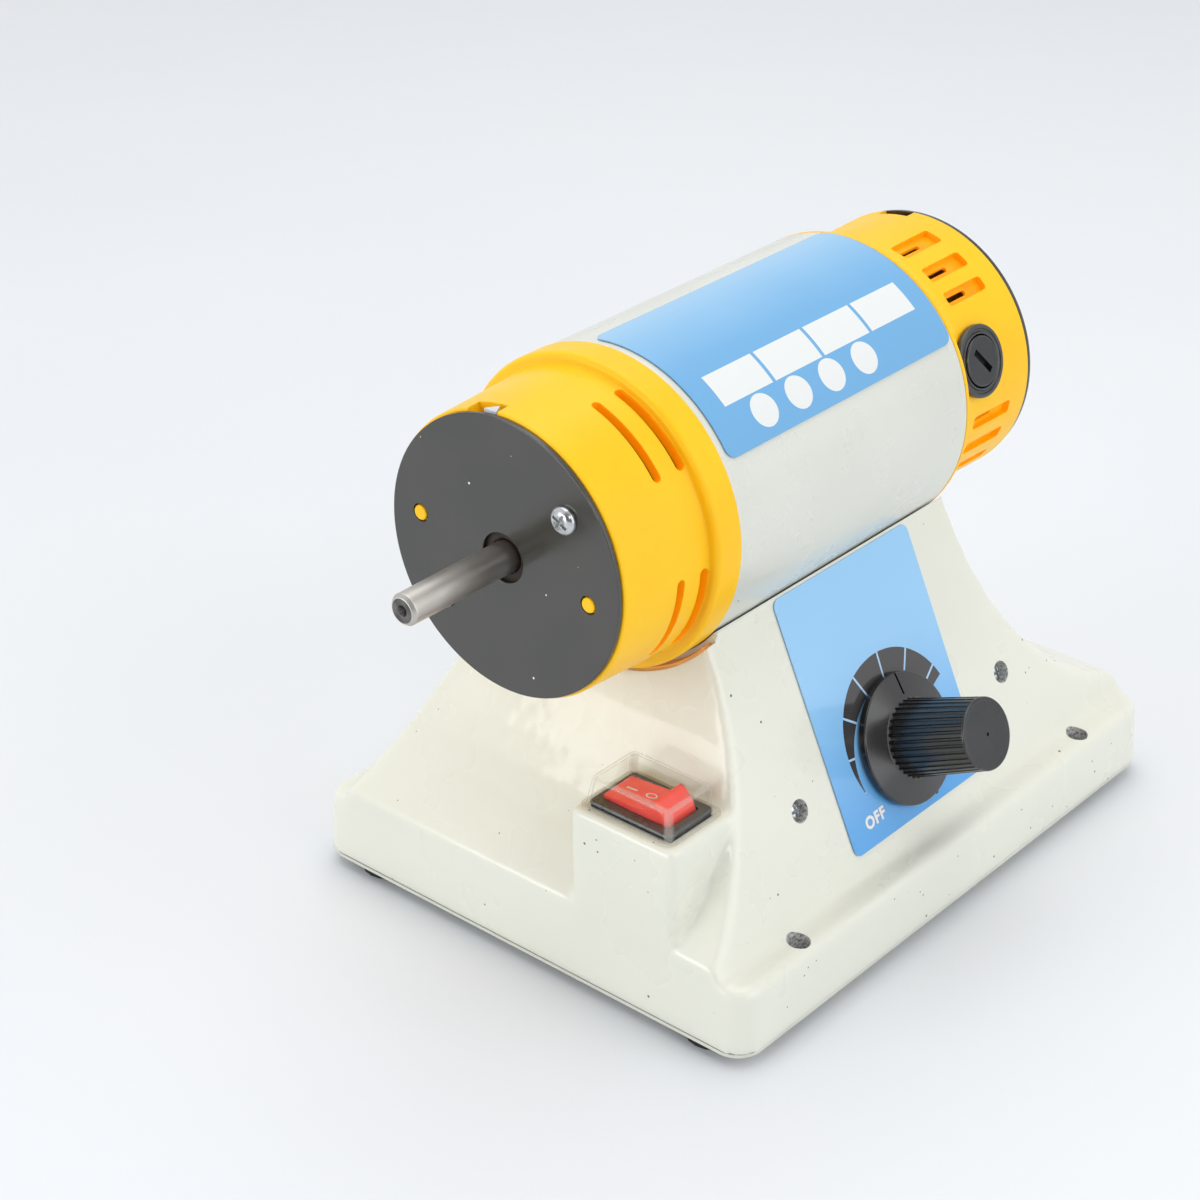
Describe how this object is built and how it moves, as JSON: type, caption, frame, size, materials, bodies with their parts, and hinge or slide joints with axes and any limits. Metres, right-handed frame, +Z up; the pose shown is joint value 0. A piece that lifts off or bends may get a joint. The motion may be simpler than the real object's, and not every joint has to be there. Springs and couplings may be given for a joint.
{
  "type": "bench polishing lathe",
  "caption": "Bench polishing lathe: a brushed motor in a round shell with a bare spindle end, on a hollow cast base with a speed knob and a covered rocker switch.",
  "frame": {"origin": "middle of the machine's bounding box at the underside of its feet", "axes": "+Z up; the spindle lies along Y and its free end points to -Y; the speed knob is on the +X flank"},
  "size_m": [0.1604, 0.229, 0.1642],
  "materials": {
    "cream_paint": "semi-gloss baked paint over sand-cast iron, slightly pitted",
    "tube_paint": "pale silver paint on rolled steel",
    "yellow_plastic": "satin moulded plastic",
    "black_disc_paint": "satin black paint on sheet steel",
    "label_film": "glossy printed film",
    "ground_steel": "ground round, fine turning marks",
    "zinc_screw": "bright zinc plating",
    "bearing_steel": "ground bearing steel",
    "core_steel": "stacked laminations",
    "copper_winding": "enamelled copper wire and copper bars",
    "brass": "plain brass",
    "carbon": "pressed carbon, matt",
    "fan_plastic": "moulded plastic",
    "black_plastic": "glossy moulded plastic",
    "foot_rubber": "matt rubber",
    "bracket_steel": "zinc-coated sheet",
    "board_green": "solder-masked board",
    "capacitor_blue": "shrink sleeve",
    "rocker_red": "translucent moulded plastic",
    "clear_cover": "clear soft plastic"
  },
  "bodies": {
    "base": {"base_casting": "cream_paint", "motor_tube": "tube_paint", "front_bell": "yellow_plastic", "rear_bell": "yellow_plastic", "front_disc": "black_disc_paint", "rear_disc": "black_disc_paint", "base_cover_plate": "black_disc_paint", "motor_label": "label_film", "speed_label": "label_film", "front_cover_screw_1": "zinc_screw", "front_cover_screw_2": "zinc_screw", "rear_cover_screw_1": "zinc_screw", "rear_cover_screw_2": "zinc_screw", "foot_screw_front_left": "zinc_screw", "foot_screw_front_right": "zinc_screw", "foot_screw_rear_left": "zinc_screw", "foot_screw_rear_right": "zinc_screw", "motor_screw_front": "zinc_screw", "motor_screw_rear": "zinc_screw", "flank_screw_front": "zinc_screw", "flank_screw_rear": "zinc_screw", "potentiometer_nut": "zinc_screw", "front_bearing": "bearing_steel", "rear_bearing": "bearing_steel", "stator_core": "core_steel", "field_coil_top": "copper_winding", "field_coil_bottom": "copper_winding", "brush_spring_right": "brass", "brush_spring_left": "brass", "switch_terminal_left": "brass", "switch_terminal_right": "brass", "carbon_brush_right": "carbon", "carbon_brush_left": "carbon", "brush_holder_right": "black_plastic", "brush_holder_left": "black_plastic", "brush_cap_right": "black_plastic", "brush_cap_left": "black_plastic", "switch_housing": "black_plastic", "foot_front_left": "foot_rubber", "foot_front_right": "foot_rubber", "foot_rear_left": "foot_rubber", "foot_rear_right": "foot_rubber", "cord_grommet": "foot_rubber", "control_bracket": "bracket_steel", "potentiometer_body": "bracket_steel", "control_board": "board_green", "control_capacitor": "capacitor_blue", "switch_cover": "clear_cover"},
    "spindle": {"spindle_shaft": "ground_steel", "armature_core": "core_steel", "winding_front": "copper_winding", "winding_rear": "copper_winding", "commutator": "copper_winding", "cooling_fan": "fan_plastic"},
    "speed_control": {"speed_knob": "black_plastic", "potentiometer_shaft": "zinc_screw"},
    "rocker": {"switch_rocker": "rocker_red"}
  },
  "joints": [
    {"name": "spindle_spin", "type": "hinge", "parent": "base", "child": "spindle", "pos_m": [-0.00523, 0, 0.1217], "axis": [0, -1, 0], "continuous": true},
    {"name": "speed_turn", "type": "hinge", "parent": "base", "child": "speed_control", "pos_m": [0.04945, 0.01455, 0.04769], "axis": [0.91, 0, 0.4147], "range_deg": [-140, 140]},
    {"name": "rocker_tilt", "type": "hinge", "parent": "base", "child": "rocker", "pos_m": [0.02897, -0.06435, 0.0543], "axis": [0, 1, 0], "range_deg": [0, 20]}
  ]
}
